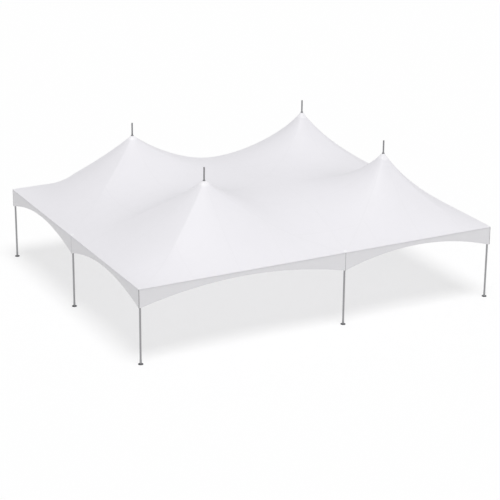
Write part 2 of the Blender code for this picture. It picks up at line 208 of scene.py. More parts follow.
membraneLook = {
    "roofColor": (0.833, 0.824, 0.857),
    "valanceColor": (0.805, 0.799, 0.820),
    "roughness": 0.50,
    "specular": 0.35,
    "translucency": 0.10,
    "panelWidth": 1.55,  # from one welded seam to the next
    "weld": 0.040,
    "weldFade": 0.003,
    "doubledRadius": 0.28,  # second layer round each tip
    "doubledFade": 0.006,
    "hem": (0.035, 0.037),
    "topBand": (0.055, 0.057),
    "threads": 900.0,  # threads per metre
    "threadDepth": 0.00006,
    "layerDepth": 0.0006,
}


def makeMembrane(name, color, onRoof):
    look = membraneLook
    finish = Finish(name, color, look["roughness"])
    point = finish.point()
    cloud = finish.noise(point, 0.55, 4.0, 0.55)
    dust = finish.noise(point, 5.0, 5.0, 0.65)
    tone = 1.0 + (cloud - 0.5) * 0.030 + (dust - 0.5) * 0.018
    if onRoof:
        # welded seams between the panels, along the hips and along the valleys
        across = finish.part(finish.cutPoint(), "X")
        seam = finish.maths("PINGPONG", across, look["panelWidth"] / 2)
        seam = finish.maths("MINIMUM", seam, finish.value("hip"))
        seam = finish.maths("MINIMUM", seam, finish.value("valley"))
        half, radius = look["weld"] / 2, look["doubledRadius"]
        weld = finish.fade(seam, half - look["weldFade"], half)
        cone = finish.fade(finish.value("fromTip"), radius, radius + look["doubledFade"])
        layers = finish.maths("MAXIMUM", weld, cone)
        # seams a little darker; inside the doubled radius round each tip a little lighter, which is partly a
        # painted highlight at the tips
        tone = tone * (1.0 - weld * 0.012) * (1.0 + cone * 0.01)
    else:
        hem = finish.fade(finish.value("fromHem"), *look["hem"])
        band = finish.fade(finish.value("fromTop"), *look["topBand"])
        layers = finish.maths("MAXIMUM", hem, band)
        tone = tone * (1.0 - layers * 0.02)
    base = finish.toned(tone)
    finish.set("Roughness", look["roughness"] + (dust - 0.5) * 0.10)
    threads = finish.cutPoint((look["threads"], look["threads"], 1.0))
    weave = finish.wave(threads, "X") + finish.wave(threads, "Y")
    finish.relief((weave, look["threadDepth"], 0.5), (layers, look["layerDepth"], 1.0))
    finish.set("Specular IOR Level", look["specular"])
    through = finish.node("ShaderNodeBsdfTranslucent", {"Color": base})
    cloth = Reading(finish, finish.shader.outputs[0])
    mixed = finish.node("ShaderNodeMixShader", {0: look["translucency"], 1: cloth, 2: through})
    finish.feed(finish.tree.nodes["Material Output"].inputs["Surface"], mixed)
    return finish.material


def makeWebbing(name, color, roughness):
    # woven band: fine ribs all ways, a little fuzz
    finish = Finish(name, color, roughness)
    point = finish.point((webbingRibs, webbingRibs, webbingRibs))
    ribs = sum(finish.wave(point, way) for way in "XYZ")
    fuzz = finish.noise(finish.point(), 340.0, 3.0, 0.6)
    finish.toned(0.88 + ribs * 0.06 + (fuzz - 0.5) * 0.12)
    finish.set("Roughness", roughness + (fuzz - 0.5) * 0.12)
    finish.relief((ribs + fuzz * 0.4, 0.0002, 0.7))
    finish.set("Specular IOR Level", 0.3)
    return finish.material


def makeTubeMetal(name, color, roughness, along):
    # drawn aluminium: fine lines along the tube, a dull bloom and a few scuffs
    finish = Finish(name, color, roughness, 1.0)
    lines = finish.noise(finish.point([0.9 if axis == along else 70.0 for axis in "XYZ"]), 4.0, 3.0, 0.6)
    bloom = finish.noise(finish.point(), 3.2, 4.0, 0.6)
    scuff = finish.fade(finish.noise(finish.point(), 26.0, 5.0, 0.7), 0.62, 0.72, 0.0, 1.0)
    finish.toned(0.90 + lines * 0.14 + (bloom - 0.5) * 0.16 - scuff * 0.10)
    finish.set("Roughness", roughness + (bloom - 0.5) * 0.16 + scuff * 0.12 + (lines - 0.5) * 0.10)
    finish.relief((lines, 0.00008, 0.6))
    return finish.material


def makeGalvanised(name, color, roughness, spangle):
    # zinc coat: faceted spangle, white bloom in patches
    finish = Finish(name, color, roughness, 1.0)
    point = finish.point()
    cells = finish.node("ShaderNodeTexVoronoi", {"Vector": point, "Scale": spangle}, "Color")
    facet = finish.part(cells, "X")
    bloom = finish.fade(finish.noise(point, 9.0, 5.0, 0.65), 0.45, 0.75, 0.0, 1.0)
    finish.toned(0.86 + facet * 0.22 + bloom * 0.10)
    finish.set("Roughness", roughness + (facet - 0.5) * 0.14 + bloom * 0.14)
    finish.set("Metallic", 1.0 - bloom * 0.25)
    finish.relief((finish.noise(point, 420.0, 2.0, 0.5), 0.0002, 0.5))
    return finish.material


webbingRibs = 1400.0  # ribs per metre, twice over
webbingLook = {  # colour and roughness
    # near-black and dark grey: closing webbing, and partly painted shade for the shaded line at each slit
    "closing_webbing_and_slit_shade": ((0.060, 0.060, 0.065), 0.75),
    "middle_webbing_and_slit_shade": ((0.26, 0.26, 0.27), 0.75),
    "hip_webbing": ((0.62, 0.62, 0.63), 0.70),
    # whiter than the roof: doubled cloth, and partly a painted highlight over each leg
    "patch_cloth_and_highlight": ((0.91, 0.91, 0.93), 0.42),
    # whiter than the roof: a doubled layer, and partly a painted highlight at the tips
    "cone_cloth_and_highlight": ((0.87, 0.862, 0.89), 0.46),
}
tubeLook = {  # colour, roughness and the way that the tube runs
    "leg_aluminium": ((0.36, 0.36, 0.37), 0.42, "Z"),
    "beam_aluminium_long": ((0.36, 0.36, 0.37), 0.42, "X"),
    "beam_aluminium_side": ((0.36, 0.36, 0.37), 0.42, "Y"),
    "mast_tube": ((0.30, 0.30, 0.31), 0.45, "Z"),
}
zincLook = {  # colour, roughness and the fineness of the spangle
    "fitting_zinc": ((0.30, 0.30, 0.31), 0.46, 85.0),
    "collar_zinc": ((0.30, 0.30, 0.31), 0.50, 160.0),
    "plate_zinc": ((0.13, 0.13, 0.14), 0.55, 70.0),
    "strand_zinc": ((0.40, 0.40, 0.41), 0.40, 320.0),
    "bolt_steel": ((0.50, 0.50, 0.51), 0.34, 400.0),
    "eyelet_nickel": ((0.86, 0.86, 0.86), 0.38, 600.0),
}
finishes = {
    "roof_membrane": makeMembrane("roof_membrane", membraneLook["roofColor"], True),
    "valance_membrane": makeMembrane("valance_membrane", membraneLook["valanceColor"], False),
}
for make, looks in ((makeWebbing, webbingLook), (makeTubeMetal, tubeLook), (makeGalvanised, zincLook)):
    for name, look in looks.items():
        finishes[name] = make(name, *look)
print("materials made")


# shaping helpers
def cleared():
    bpy.ops.object.select_all(action="DESELECT")


def only(*pieces):
    cleared()
    for piece in pieces:
        piece.select_set(True)
    bpy.context.view_layer.objects.active = pieces[0]


@contextmanager
def editing(piece):
    # edit mode, with all of the piece selected
    only(piece)
    bpy.ops.object.mode_set(mode="EDIT")
    bpy.ops.mesh.select_all(action="SELECT")
    yield
    bpy.ops.object.mode_set(mode="OBJECT")


def applied(piece):
    only(piece)
    bpy.ops.object.transform_apply(location=True, rotation=True, scale=True)
    return piece


def modified(piece, kind, **settings):
    only(piece)
    modifier = piece.modifiers.new(kind, kind)
    for key, value in settings.items():
        setattr(modifier, key, value)
    bpy.ops.object.modifier_apply(modifier=modifier.name)
    return piece


def softened(piece, width, segments=2):
    angle = math.radians(50)
    return modified(piece, "BEVEL", width=width, segments=segments, limit_method="ANGLE", angle_limit=angle)


def joined(pieces):
    only(*pieces)
    if len(pieces) > 1:
        bpy.ops.object.join()
    return pieces[0]


def removed(*pieces):
    for piece in pieces:
        bpy.data.objects.remove(piece, do_unlink=True)


def painted(piece, finishName):
    piece.data.materials.clear()
    piece.data.materials.append(finishes[finishName])
    return piece


def riding(piece, name, slot, *nodes, angle=35):
    piece.name = name
    piece.data.name = name
    applied(piece)
    bpy.ops.object.shade_smooth_by_angle(angle=math.radians(angle))
    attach(piece, "root")
    if nodes:
        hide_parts(*nodes)
    return piece


def facedOut():
    bpy.ops.mesh.select_all(action="SELECT")
    bpy.ops.mesh.normals_make_consistent(inside=False)


def turnedUp(profile, sides=40):
    # a round piece drawn upwards: each step is extruded from the last and scaled to its radius
    radius, height = profile[0]
    place = (0, 0, height)
    cleared()
    bpy.ops.mesh.primitive_circle_add(vertices=sides, radius=radius, fill_type="NGON", location=place)
    piece = applied(bpy.context.object)
    with editing(piece):
        for nextRadius, nextHeight in profile[1:]:
            bpy.ops.mesh.extrude_region_move(TRANSFORM_OT_translate={"value": (0, 0, nextHeight - height)})
            scale = nextRadius / radius
            bpy.ops.transform.resize(value=(scale, scale, 1), center_override=(0, 0, nextHeight))
            radius, height = nextRadius, nextHeight
        facedOut()
    return piece


def mirrored(profile, total):
    # a profile followed by its own mirror image, up to the total height
    return [*profile, *[(radius, total - height) for radius, height in reversed(profile)]]


def cylinder(sides, radius, depth, place=(0, 0, 0)):
    cleared()
    bpy.ops.mesh.primitive_cylinder_add(vertices=sides, radius=radius, depth=depth, location=place)
    return bpy.context.object


def block(size, place):
    cleared()
    bpy.ops.mesh.primitive_cube_add(size=1, location=place)
    piece = bpy.context.object
    piece.scale = size
    return applied(piece)


def upTo(direction):
    # the turn that lays the Z axis along a direction
    return Vector((0, 0, 1)).rotation_difference(Vector(direction).normalized())


def aimed(piece, start, towards):
    # lays a piece that was drawn up the Z axis along another direction, from start
    piece.rotation_mode = "QUATERNION"
    piece.rotation_quaternion = upTo(towards)
    piece.location = start
    return applied(piece)


def placedCopy(source, place, turn=Quaternion()):
    twin = source.copy()
    twin.data = source.data.copy()
    bpy.context.collection.objects.link(twin)
    twin.data.transform(Matrix.Translation(place) @ turn.to_matrix().to_4x4())
    return twin


def drilled(piece, *cutters):
    for cutter in cutters:
        modified(piece, "BOOLEAN", operation="DIFFERENCE", solver="EXACT", object=cutter)
    removed(*cutters)
    return piece


def grownOut(piece, wanted, shift, scale=(1, 1, 1)):
    # extrudes the faces for which wanted(face) is true, and tapers them
    only(piece)
    for face in piece.data.polygons:
        face.select = wanted(face)
    bpy.ops.object.mode_set(mode="EDIT")
    bpy.ops.mesh.select_mode(type="FACE")
    bpy.ops.mesh.extrude_region_move(TRANSFORM_OT_translate={"value": shift})
    bpy.ops.transform.resize(value=scale, center_override=(0, 0, 0))
    bpy.ops.mesh.select_mode(type="VERT")
    bpy.ops.object.mode_set(mode="OBJECT")
    return piece


def bisected(piece, x):
    with editing(piece):
        bpy.ops.mesh.bisect(plane_co=(x, 0, 0), plane_no=(1, 0, 0))
        bpy.ops.mesh.select_all(action="DESELECT")
    return piece


def gridQuads(steps, width, loops=False):
    # the faces between rows of points, each row width points long
    quads = []
    for step in range(steps):
        for one in range(width if loops else width - 1):
            two = (one + 1) % width
            low, high = step * width, (step + 1) * width
            quads.append((low + one, low + two, high + two, high + one))
    return quads


def clothPiece(name, points, quads, cuts, facing=None, labels=(), facts=()):
    # cuts says where each point or face corner lies on the flat cloth,
    # and facts what the materials read at each point
    mesh = bpy.data.meshes.new(name)
    mesh.from_pydata(points, [], quads)
    if len(cuts) == len(points):
        cuts = [cuts[v] for quad in quads for v in quad]
    mesh.uv_layers.new(name="cut").data.foreach_set("uv", [value for cut in cuts for value in cut])
    for number, label in enumerate(labels):
        attribute = mesh.attributes.new(label, "FLOAT", "POINT")
        attribute.data.foreach_set("value", [fact[number] for fact in facts])
    piece = bpy.data.objects.new(name, mesh)
    bpy.context.collection.objects.link(piece)
    if facing is None:
        with editing(piece):
            facedOut()
    elif mesh.polygons[0].normal.dot(facing) < 0:
        with editing(piece):
            bpy.ops.mesh.flip_normals()
    return piece


# camera, lights and floor
camera = {"place": (-25.866, -49.412, 21.428), "angles": (69.800, -0.476, -27.632), "lens": 129.18}
light = {
    "sunStrength": 1.86,
    "sunAngle": 30,
    "sunFrom": (-0.03, -0.29, 0.96),
    "skyStrength": 0.53,
    "floorRadius": 150,
    "floorColor": 0.36,
    "floorGlow": 0.60,  # share of the floor's light that no shadow takes away
}


def makeStage():
    white = (1.0, 1.0, 1.0, 1.0)
    eye = bpy.data.cameras.new("camera")
    eye.sensor_width = 36
    eye.lens = camera["lens"]
    eye.clip_end = 400
    holder = bpy.data.objects.new("camera", eye)
    holder.location = camera["place"]
    holder.rotation_euler = [math.radians(angle) for angle in camera["angles"]]
    bpy.context.collection.objects.link(holder)
    bpy.context.scene.camera = holder

    sun = bpy.data.lights.new("key", "SUN")
    sun.energy = light["sunStrength"]
    sun.angle = math.radians(light["sunAngle"])
    lamp = bpy.data.objects.new("key", sun)
    lamp.rotation_mode = "QUATERNION"
    lamp.rotation_quaternion = Vector(light["sunFrom"]).to_track_quat("Z", "Y")
    bpy.context.collection.objects.link(lamp)

    world = bpy.data.worlds.new("studio")
    world.use_nodes = True
    sky = world.node_tree.nodes["Background"]
    sky.inputs["Color"].default_value = white
    sky.inputs["Strength"].default_value = light["skyStrength"]
    bpy.context.scene.world = world

    finish = Finish("pale_floor", (light["floorColor"],) * 3, 0.9)
    finish.set("Specular IOR Level", 0.0)
    finish.set("Emission Color", white)
    finish.set("Emission Strength", light["floorGlow"])
    finishes["pale_floor"] = finish.material
    cleared()
    around = {"vertices": 96, "radius": light["floorRadius"], "fill_type": "NGON"}
    bpy.ops.mesh.primitive_circle_add(location=(0, 0, 0), **around)
    floor = painted(bpy.context.object, "pale_floor")
    floor.name = "floor"

    view = bpy.context.scene.view_settings
    view.view_transform = "Standard"
    view.look = "None"


makeStage()
print("stage set")

# roof membrane, shaped by its own tension as in the frame's canopy, on a finer net
canopy = {
    "hole": 0.0275,
    "tipRing": 0.052,
    "sideSteps": 24,
    "ringSteps": 36,
    "ringGrading": 1.5,
    "crossTension": 0.74,  # from front to back, against 1 along the tent
    "tipPull": (1.17, 0.45),  # left-hand and right-hand bays
    "tipCore": 0.064,
    "hipPull": (2.16, 1.23),  # webbing under the hips
    "hipReach": 2.07,
    "softHip": 6,  # strips beside a hip that share its pull, on the hips towards the middle of the tent
    "weight": 0.115,
    "settled": 1e-7,
    "cloth": 0.0016,
    "ripple": 0.0016,
    "rippleWaves": ((1.0, 1.3, 0.3), (0.5, 3.1, 7.7)),  # share, fineness and place in the noise
    "calm": (0.6, 0.5),  # from a tip and from the edge, where the ripples begin
    # the folded edge: how far out and how far down each row lies
    "hem": ((0.0028, 0.0008), (0.005, 0.003), (0.006, 0.007), (0.006, 0.013), (0.0055, 0.020)),
    "cut": (13.33, 11.33),
    "far": 9.0,  # stands for no hip or valley nearby
    "onEdge": 1e-6,
}


def netPlan():
    # the net's points in plan, and each bay's columns of point numbers from its tip outwards
    index, plan, nets = {}, [], []
    steps, rings = canopy["sideSteps"], canopy["ringSteps"]
    for i, j in bays:
        tip = mastPoint(i, j)
        x, y = edgeX[i:i + 2], edgeY[j:j + 2]
        corners = ((x[0], y[0]), (x[1], y[0]), (x[1], y[1]), (x[0], y[1]))
        columns = []
        for start, end in zip(corners, corners[1:] + corners[:1]):
            for px, py in list(zip(evenly(start[0], end[0], steps), evenly(start[1], end[1], steps)))[:-1]:
                outward = Vector((px - tip.x, py - tip.y))
                span = outward.length
                outward.normalize()
                column = []
                for share in evenly(0, 1, rings):
                    radius = canopy["tipRing"]
                    radius += (span - radius) * share ** canopy["ringGrading"]
                    place = (tip.x + outward.x * radius, tip.y + outward.y * radius)
                    key = (round(place[0], 5), round(place[1], 5))
                    if key not in index:
                        index[key] = len(plan)
                        plan.append(place)
                    column.append(index[key])
                columns.append(column)
        nets.append(np.array(columns))
    return np.array(plan), nets


def netLinks(plan, nets):
    # how firmly the tension ties each pair of net points, and the load on each point
    triangles = []
    for net in nets:
        ring = np.concatenate((net, net[:1]))
        a, b, c, d = ring[:-1, :-1], ring[1:, :-1], ring[1:, 1:], ring[:-1, 1:]
        for three in ((a, b, c), (a, c, d), (a, b, d), (b, c, d)):  # cut both ways, at half strength
            triangles.append(np.stack([corner.ravel() for corner in three], axis=1))
    triangles = np.concatenate(triangles)
    x, y = plan[triangles, 0], plan[triangles, 1]
    riseX = y[:, (1, 2, 0)] - y[:, (2, 0, 1)]
    riseY = x[:, (2, 0, 1)] - x[:, (1, 2, 0)]
    doubleArea = np.abs(riseX[:, 0] * riseY[:, 1] - riseY[:, 0] * riseX[:, 1])
    tension = np.ones(len(triangles))
    for i, j in bays:
        tip = mastPoint(i, j)
        away = np.hypot(x.mean(axis=1) - tip.x, y.mean(axis=1) - tip.y)
        tension += canopy["tipPull"][i] / (away + canopy["tipCore"])
    along = riseX[:, :, None] * riseX[:, None, :]
    across = riseY[:, :, None] * riseY[:, None, :]
    firm = (along + canopy["crossTension"] * across) * (tension / doubleArea / 4)[:, None, None]
    starts, ends = [np.repeat(triangles, 3, axis=1).ravel()], [np.tile(triangles, (1, 3)).ravel()]
    firm = [firm.ravel()]
    for (i, _), net in zip(bays, nets):
        for corner in range(4):
            towardsMiddle = (corner in (1, 2)) == (i == 0)
            reach = canopy["softHip"] if towardsMiddle else 0
            for shift in range(-reach, reach + 1):
                column = net[(corner * canopy["sideSteps"] + shift) % len(net)]
                away = np.hypot(*(plan[column] - plan[column[0]]).T)
                middle = (away[1:] + away[:-1]) / 2
                pull = canopy["hipPull"][i] * (reach + 1 - abs(shift)) / (reach + 1) ** 2
                pull = pull * np.clip(1 - middle / canopy["hipReach"], 0, None) / np.diff(away)
                inner, outer = column[:-1], column[1:]
                starts += [inner, outer, inner, outer]
                ends += [inner, outer, outer, inner]
                firm += [pull, pull, -pull, -pull]
    load = np.bincount(triangles.ravel(), np.repeat(doubleArea, 3) * -canopy["weight"] / 12, len(plan))
    return np.concatenate(starts), np.concatenate(ends), np.concatenate(firm), load


def netHeights(plan, nets):
    # heights at which the net is in balance between the tips and the eave
    starts, ends, firm, load = netLinks(plan, nets)
    count = len(plan)
    heights = np.full(count, tent["eave"])
    for net in nets:
        heights[net[:, 0]] = tent["tip"]
    held = heights == tent["tip"]
    held |= np.isclose(plan[:, :1], (edgeX[0], edgeX[2])).any(axis=1)
    held |= np.isclose(plan[:, 1:], (edgeY[0], edgeY[2])).any(axis=1)
    own = starts == ends
    diagonal = np.bincount(starts[own], firm[own], count)

    def force(moved):
        return np.bincount(starts, firm * moved[ends], count)

    unbalanced = np.where(held, 0, load - force(heights))
    scaled = unbalanced / diagonal
    step = scaled.copy()
    size = unbalanced @ scaled
    target = size * canopy["settled"] ** 2
    while size > target:
        resisting = np.where(held, 0, force(step))
        share = size / (step @ resisting)
        heights += share * step
        unbalanced -= share * resisting
        scaled = unbalanced / diagonal
        size, before = unbalanced @ scaled, size
        step = scaled + size / before * step
    return heights


def hipDistance(x, y, tip, corners):
    nearest = canopy["far"]
    offset = Vector((x - tip.x, y - tip.y))
    for cornerX, cornerY in corners:
        along = Vector((cornerX - tip.x, cornerY - tip.y)).normalized()
        if offset.dot(along) > -0.01:
            nearest = min(nearest, abs(offset.x * along.y - offset.y * along.x))
    return nearest


def rippled(x, y, fromTip, fromEdge):
    # slight looseness of the cloth: none at the tips and the edges
    calm = min(1.0, fromTip / canopy["calm"][0]) * min(1.0, fromEdge / canopy["calm"][1])
    wave = 0.0
    for share, fine, place in canopy["rippleWaves"]:
        wave += share * noise.noise(Vector((x * fine, y * fine, place)))
    return canopy["ripple"] * calm * wave


# second layers and webbing that lie on the membrane or under it
membraneDetail = {
    "coneReach": (0.056, 0.170),
    "coneSides": 96,
    "coneRows": 10,
    "patchReach": 0.095,
    "patchHalf": 0.050,
    "patchInset": 0.006,
    "patchCloth": 0.001,
    "patchLift": 0.0004,
    "patchSteps": 8,
    "patchTaper": 0.035,
    "taperFrom": 0.55,  # share of the patch's depth
    "eyeletInset": 0.050,
    "eyeletRing": 0.010,
    "eyeletRound": 0.004,
    "eyeletFlat": 0.45,
    "webHalf": 0.025,
    "webCloth": 0.0018,
    "webLift": 0.003,
    "webStart": 0.11,
    "webStop": 0.20,  # short of the fittings
    "webMeet": 0.04,  # short of the middle, where the four bays meet
    "webStep": 0.06,
}


def onRoof(roof, x, y):
    # the membrane's point over a place in plan, and its upward normal
    place, normal, _, _ = roof.ray_cast(Vector((x, y, 2 * tent["tip"])), Vector((0, 0, -1)))
    return place, normal if normal.z > 0 else -normal


def laidOn(roof, name, rows, finishName, under=False, loops=False):
    # a strip or patch of cloth that follows the membrane, from rows of plan points
    size = membraneDetail
    way, away, cloth = 1, size["patchLift"], size["patchCloth"]
    if under:
        way, away, cloth = -1, -canopy["cloth"] - size["webLift"], size["webCloth"]
    flat = [point for row in rows for point in row]
    points = []
    for x, y in flat:
        place, normal = onRoof(roof, x, y)
        points.append(place + normal * away)
    quads = gridQuads(len(rows) - 1, len(rows[0]), loops)
    piece = clothPiece(name, points, quads, flat, Vector((0, 0, way)))
    return painted(modified(piece, "SOLIDIFY", thickness=cloth, offset=1), finishName)


def makeTipCones(roof):
    size = membraneDetail
    angles = evenly(0, 2 * math.pi, size["coneSides"])[:-1]
    cones = []
    for bay in bays:
        tip = mastPoint(*bay)
        rows = []
        for reach in evenly(*size["coneReach"], size["coneRows"]):
            rows.append([tuple((tip + aroundZ(angle, reach)).xy) for angle in angles])
        name = "tip_cone_" + bayName(*bay)
        # the cone's cloth is whiter than the roof: a real doubled layer, and partly a painted highlight for
        # the bright tips
        cone = laidOn(roof, name, rows, "cone_cloth_and_highlight", loops=True)
        cones.append(riding(cone, name, "canopy_membrane", angle=50))
    return cones


def makeLegPatches(roof):
    # doubled cloth with an eyelet at the edge over each leg; the cloth is whiter than the roof, partly a
    # painted highlight for the bright spot there
    size = membraneDetail
    inset, reach, steps = size["patchInset"], size["patchReach"], size["patchSteps"]
    cleared()
    ring = {"major_radius": size["eyeletRing"], "minor_radius": size["eyeletRound"]}
    bpy.ops.mesh.primitive_torus_add(major_segments=32, minor_segments=10, location=(0, 0, 0), **ring)
    eyelet = painted(bpy.context.object, "eyelet_nickel")
    with editing(eyelet):
        bpy.ops.transform.resize(value=(1, 1, size["eyeletFlat"]), center_override=(0, 0, 0))
    patches = []
    for i, j in legs:
        edge = Vector((edgeX[i], edgeY[j]))
        ways = [way for way in (Vector((1 - i, 0)), Vector((0, 1 - j))) if way.length > 0]
        inward = ways[-1]
        along, low, high = ways[0], inset, reach
        if not isCorner(i, j):
            along, low, high = Vector((inward.y, inward.x)), -size["patchHalf"], size["patchHalf"]
        rows = []
        for share in evenly(0, 1, steps):
            beyond = max(0.0, share - size["taperFrom"]) / (1 - size["taperFrom"])
            narrow = size["patchTaper"] * beyond ** 2
            start = low if isCorner(i, j) else low + narrow
            line = edge + inward * (inset + (reach - inset) * share)
            rows.append([tuple(line + along * across) for across in evenly(start, high - narrow, steps)])
        name = "edge_patch_" + legName(i, j)
        patch = laidOn(roof, name, rows, "patch_cloth_and_highlight")
        place, normal = onRoof(roof, *(edge + sum(ways, Vector((0, 0))) * size["eyeletInset"]))
        twin = placedCopy(eyelet, place + normal * (size["patchLift"] + size["patchCloth"]), upTo(normal))
        patches.append(riding(patch, name, "canopy_membrane", angle=50))
        patches.append(riding(twin, "eyelet_" + legName(i, j), "fitting_steel"))
    removed(eyelet)
    return patches


def makeHipWebbing(roof):
    size = membraneDetail
    webs = []
    for bay in bays:
        tip = mastPoint(*bay).xy
        runs = []
        for corner in bayCorners(*bay):
            towards = Vector(corner) - tip
            inside = corner == (edgeX[1], edgeY[1])
            length = towards.length - (size["webMeet"] if inside else size["webStop"])
            towards.normalize()
            side = Vector((-towards.y, towards.x)) * size["webHalf"]
            rows = []
            for distance in evenly(size["webStart"], length, round(length / size["webStep"])):
                middle = tip + towards * distance
                rows.append([tuple(middle + side * share) for share in evenly(-1, 1, 4)])
            runs.append(laidOn(roof, "web", rows, "hip_webbing", under=True))
        webs.append(riding(joined(runs), "hip_webbing_" + bayName(*bay), "canopy_membrane", angle=50))
    return webs


def makeCanopy():
    plan, nets = netPlan()
    heights = netHeights(plan, nets)
    print("membrane settled, lowest point inside the tips:", round(float(heights.min()), 3))
    points, facts = [None] * len(plan), [None] * len(plan)
    quads, cuts, rim = [], [], {}
    for (i, j), net in zip(bays, nets):
        tip = mastPoint(i, j, tent["tip"])
        columns = []
        for column in net.tolist():
            for number in column:
                px, py = plan[number]
                fromTip = math.hypot(px - tip.x, py - tip.y)
                fromEdge = min(px - edgeX[0], edgeX[2] - px, py - edgeY[0], edgeY[2] - py)
                if points[number] is None:
                    lift = rippled(px, py, fromTip, max(0.0, fromEdge))
                    points[number] = (px, py, heights[number] + lift)
                    fromHip = hipDistance(px, py, tip, bayCorners(i, j))
                    facts[number] = (fromHip, min(abs(px - edgeX[1]), abs(py)), fromTip)
                if fromEdge < canopy["onEdge"]:
                    rim[number] = (px, py)
            outX, outY = (plan[column[0]] - (tip.x, tip.y)) / canopy["tipRing"]
            columns.append([len(points), *column])
            points.append((tip.x + outX * canopy["hole"], tip.y + outY * canopy["hole"], tent["tip"]))
            facts.append((0.0, canopy["far"], canopy["hole"]))
        for number, (one, two) in enumerate(zip(columns, columns[1:] + columns[:1])):
            frontOrBack = number // canopy["sideSteps"] % 2 == 0
            for quad in zip(one, one[1:], two[1:], two):
                quads.append(quad)
                for v in quad:
                    away = (points[v][0] - tip.x, points[v][1] - tip.y)
                    cuts.append(away if frontOrBack else away[::-1])

    # the folded edge runs once round the tent, outside the valance
    loop = sorted(rim, key=lambda v: math.atan2(rim[v][1], rim[v][0]))
    rows = [loop]
    for out, down in canopy["hem"]:
        rows.append(range(len(points), len(points) + len(loop)))
        for vertex in loop:
            place = []
            for at, edge in zip(rim[vertex], (edgeX[2], edgeY[2])):
                place.append(at + out * np.sign(at) * (abs(abs(at) - edge) < canopy["onEdge"]))
            points.append((*place, tent["eave"] - down))
            facts.append((canopy["far"],) * 3)
    for upper, lower in zip(rows, rows[1:]):
        for place in range(len(loop)):
            after = (place + 1) % len(loop)
            quad = (upper[place], lower[place], lower[after], upper[after])
            quads.append(quad)
            cuts += [(points[v][0] + points[v][1], points[v][2]) for v in quad]

    labels = ("hip", "valley", "fromTip")
    piece = clothPiece("canopy_membrane", points, quads, cuts, None, labels, facts)
    mesh = piece.data
    roof = BVHTree.FromPolygons([v.co for v in mesh.vertices], [p.vertices for p in mesh.polygons])
    modified(piece, "SOLIDIFY", thickness=canopy["cloth"], offset=-1)
    riding(painted(piece, "roof_membrane"), "canopy_membrane", "canopy_membrane", "canopy", angle=50)
    details = [*makeTipCones(roof), *makeLegPatches(roof), *makeHipWebbing(roof)]


makeCanopy()
print("canopy made")

# valances
valance = {
    "middle": 0.17,
    "leg": 0.60,
    "slit": 0.012,
    "top": 2.3917,
    "steps": 110,
    "rows": 16,
    "cloth": 0.0014,
    "wave": 0.007,
    "calm": 0.1,  # from the slits, where the waves begin
}
closing = {
    "half": 0.020,
    "cloth": 0.0012,
    "ribHalf": 0.0052,
    "behind": 0.0506,
    "ribFace": 0.0534,
    "cornerArm": 0.012,
    "cornerFace": 0.055,
    "overlap": 0.004,
    "top": 2.390,
    "round": 0.0004,
}


def valanceDepth(share):
    share = min(1.0, max(0.0, share))
    return valance["middle"] + (valance["leg"] - valance["middle"]) * (2 * share - 1) ** 2


def makeValance(name, first, last, outward):
    size = valance
    start, end = legPoint(*first), legPoint(*last)
    along, length = (end - start).normalized(), (end - start).length
    slit, edgeOut = size["slit"] / 2, tent["edgeOut"]
    low = slit - edgeOut if isCorner(*first) else slit
    high = length + edgeOut - slit if isCorner(*last) else length - slit
    points, flat, facts = [], [], []
    for distance in evenly(low, high, size["steps"]):
        bottom = tent["eave"] - valanceDepth(distance / length)
        calm = min(1.0, (distance - low) / size["calm"], (high - distance) / size["calm"])
        for hang in evenly(0, 1, size["rows"]):
            height = size["top"] - (size["top"] - bottom) * hang
            wave = noise.noise(Vector((distance * 1.7 + start.x * 3, hang * 0.7, start.y * 3 + 1.1)))
            wave += 0.4 * noise.noise(Vector((distance * 4.6, hang * 1.3, start.x - start.y)))
            loose = size["wave"] * wave * hang * calm
            place = start + along * distance + outward * (edgeOut - size["cloth"] + loose)
            points.append((place.x, place.y, height))
            flat.append((distance, height))
            facts.append((height - bottom, size["top"] - height))
    quads = gridQuads(size["steps"], size["rows"] + 1)
    piece = clothPiece(name, points, quads, flat, outward, ("fromHem", "fromTop"), facts)
    area = sum(polygon.area for polygon in piece.data.polygons)
    modified(piece, "SOLIDIFY", thickness=size["cloth"], offset=-1)
    return painted(piece, "valance_membrane"), high - low, area


def makeClosingStrips():
    # dark webbing that closes the slit between two panels: a ribbed band at the
    # middle legs and an angle over the edge at the corners; its dark colour is partly painted shade for the
    # shaded line at each slit
    size = closing
    cloth, rib, behind = size["cloth"], size["ribHalf"], size["behind"]
    arm, face = size["cornerArm"], -size["cornerFace"]
    bottom = tent["eave"] - valance["leg"] - size["overlap"]
    height, middle = size["top"] - bottom, (size["top"] + bottom) / 2
    band = block((size["half"] * 2, cloth, height), (0, cloth / 2 - behind, middle))
    bisected(band, -rib)
    bisected(band, rib)
    out = behind - size["ribFace"]
    grownOut(band, lambda side: side.normal.y < -0.9 and abs(side.center.x) < rib, (0, out, 0))
    angle = block((arm, cloth, height), (face + arm / 2, face + cloth / 2, middle))
    bisected(angle, face + cloth)
    grownOut(angle, lambda side: side.normal.y > 0.9 and side.center.x < face + cloth, (0, arm - cloth, 0))
    painted(softened(band, size["round"]), "middle_webbing_and_slit_shade")
    painted(softened(angle, size["round"]), "closing_webbing_and_slit_shade")
    quarters = {(0, 0): 0, (1, 0): 0, (2, 0): 1, (2, 1): 1, (2, 2): 2, (1, 2): 2, (0, 2): 3, (0, 1): 3}
    strips = {}
    for leg in legs:
        turn = Matrix.Rotation(math.radians(90 * quarters[leg]), 3, "Z").to_quaternion()
        strip = placedCopy(angle if isCorner(*leg) else band, legPoint(*leg), turn)
        strips[leg] = riding(strip, "closing_strip_" + legName(*leg), "valance_membrane")
    removed(band, angle)
    return strips


def makeValances():
    strips = makeClosingStrips()
    for name, first, last, outward in spans:
        piece, width, area = makeValance("valance_panel_" + name, first, last, outward)
        riding(piece, "valance_panel_" + name, "valance_membrane", "valance_" + name, angle=50)


makeValances()
print("valances made")

